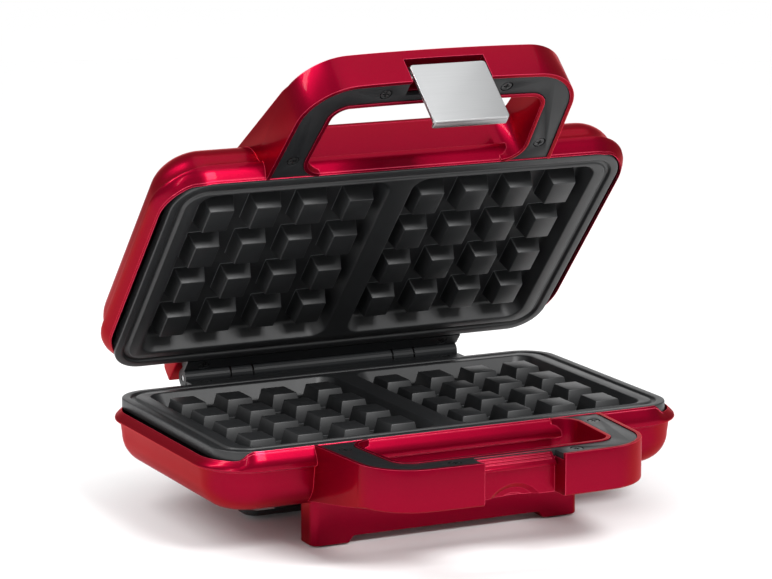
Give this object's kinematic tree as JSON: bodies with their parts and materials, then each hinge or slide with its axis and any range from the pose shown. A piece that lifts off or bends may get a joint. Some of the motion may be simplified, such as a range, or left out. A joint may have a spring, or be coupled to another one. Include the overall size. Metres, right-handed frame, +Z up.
{
  "type": "waffle maker",
  "caption": "Hinged waffle maker with ribbed non-stick plates in glossy red shells, a carrying handle split between base and lid, and a swinging latch.",
  "frame": {"origin": "middle of the open object's box, at the plane its feet stand on", "axes": "+Z up, +X to the right as the user faces the handle, +Y from the handle to the hinge"},
  "size_m": [0.249, 0.2342, 0.2265],
  "materials": {
    "lower_housing": "metallic red lacquer, glossy",
    "lower_handle_insert": "fine matt grain",
    "lower_cooking_plate": "dark non-stick coating, satin",
    "lower_heating_element": "plated",
    "lower_heat_shield": "mill sheet",
    "lower_hinge_block": "matt black",
    "lower_handle_screw_1": "plated",
    "lower_handle_screw_2": "plated",
    "lower_handle_screw_3": "plated",
    "lower_handle_screw_4": "plated",
    "lower_shield_screw_1": "plated",
    "lower_shield_screw_2": "plated",
    "lower_shield_screw_3": "plated",
    "lower_shield_screw_4": "plated",
    "lower_hinge_screw_1": "plated",
    "lower_hinge_screw_2": "plated",
    "hinge_pin_left": "plated",
    "hinge_pin_right": "plated",
    "cord_hook_left": "matt black",
    "cord_hook_right": "matt black",
    "cord_gland": "matt",
    "thermostat": "ivory ceramic and moulding, matt",
    "terminal_block": "ivory ceramic and moulding, matt",
    "front_foot_pad_left": "matt",
    "front_foot_pad_right": "matt",
    "rear_foot_pad_left": "matt",
    "rear_foot_pad_right": "matt",
    "upper_housing": "metallic red lacquer, glossy",
    "upper_handle_insert": "fine matt grain",
    "upper_cooking_plate": "dark non-stick coating, satin",
    "upper_heating_element": "plated",
    "upper_heat_shield": "mill sheet",
    "upper_hinge_block": "matt black",
    "upper_handle_screw_1": "plated",
    "upper_handle_screw_2": "plated",
    "upper_handle_screw_3": "plated",
    "upper_handle_screw_4": "plated",
    "upper_shield_screw_1": "plated",
    "upper_shield_screw_2": "plated",
    "upper_shield_screw_3": "plated",
    "upper_shield_screw_4": "plated",
    "upper_hinge_screw_1": "plated",
    "upper_hinge_screw_2": "plated",
    "thermal_fuse": "plated",
    "power_lamp_lens": "clear red",
    "ready_lamp_lens": "clear green",
    "latch_pin": "plated",
    "latch_plate": "satin, brushed"
  },
  "bodies": {
    "base": {"lower_housing": "lower_housing", "lower_handle_insert": "lower_handle_insert", "lower_cooking_plate": "lower_cooking_plate", "lower_heating_element": "lower_heating_element", "lower_heat_shield": "lower_heat_shield", "lower_hinge_block": "lower_hinge_block", "lower_handle_screw_1": "lower_handle_screw_1", "lower_handle_screw_2": "lower_handle_screw_2", "lower_handle_screw_3": "lower_handle_screw_3", "lower_handle_screw_4": "lower_handle_screw_4", "lower_shield_screw_1": "lower_shield_screw_1", "lower_shield_screw_2": "lower_shield_screw_2", "lower_shield_screw_3": "lower_shield_screw_3", "lower_shield_screw_4": "lower_shield_screw_4", "lower_hinge_screw_1": "lower_hinge_screw_1", "lower_hinge_screw_2": "lower_hinge_screw_2", "hinge_pin_left": "hinge_pin_left", "hinge_pin_right": "hinge_pin_right", "cord_hook_left": "cord_hook_left", "cord_hook_right": "cord_hook_right", "cord_gland": "cord_gland", "thermostat": "thermostat", "terminal_block": "terminal_block", "front_foot_pad_left": "front_foot_pad_left", "front_foot_pad_right": "front_foot_pad_right", "rear_foot_pad_left": "rear_foot_pad_left", "rear_foot_pad_right": "rear_foot_pad_right"},
    "lid": {"upper_housing": "upper_housing", "upper_handle_insert": "upper_handle_insert", "upper_cooking_plate": "upper_cooking_plate", "upper_heating_element": "upper_heating_element", "upper_heat_shield": "upper_heat_shield", "upper_hinge_block": "upper_hinge_block", "upper_handle_screw_1": "upper_handle_screw_1", "upper_handle_screw_2": "upper_handle_screw_2", "upper_handle_screw_3": "upper_handle_screw_3", "upper_handle_screw_4": "upper_handle_screw_4", "upper_shield_screw_1": "upper_shield_screw_1", "upper_shield_screw_2": "upper_shield_screw_2", "upper_shield_screw_3": "upper_shield_screw_3", "upper_shield_screw_4": "upper_shield_screw_4", "upper_hinge_screw_1": "upper_hinge_screw_1", "upper_hinge_screw_2": "upper_hinge_screw_2", "thermal_fuse": "thermal_fuse", "power_lamp_lens": "power_lamp_lens", "ready_lamp_lens": "ready_lamp_lens", "latch_pin": "latch_pin"},
    "latch": {"latch_plate": "latch_plate"}
  },
  "joints": [
    {"name": "lid_hinge", "type": "hinge", "parent": "base", "child": "lid", "pos_m": [0, 0.09989, 0.0525], "axis": [-1, 0, 0], "range_deg": [-48.1, 51.9]},
    {"name": "latch_hinge", "type": "hinge", "parent": "lid", "child": "latch", "pos_m": [0, -0.03668, 0.2164], "axis": [-1, 0, 0], "range_deg": [-6, 65]}
  ]
}
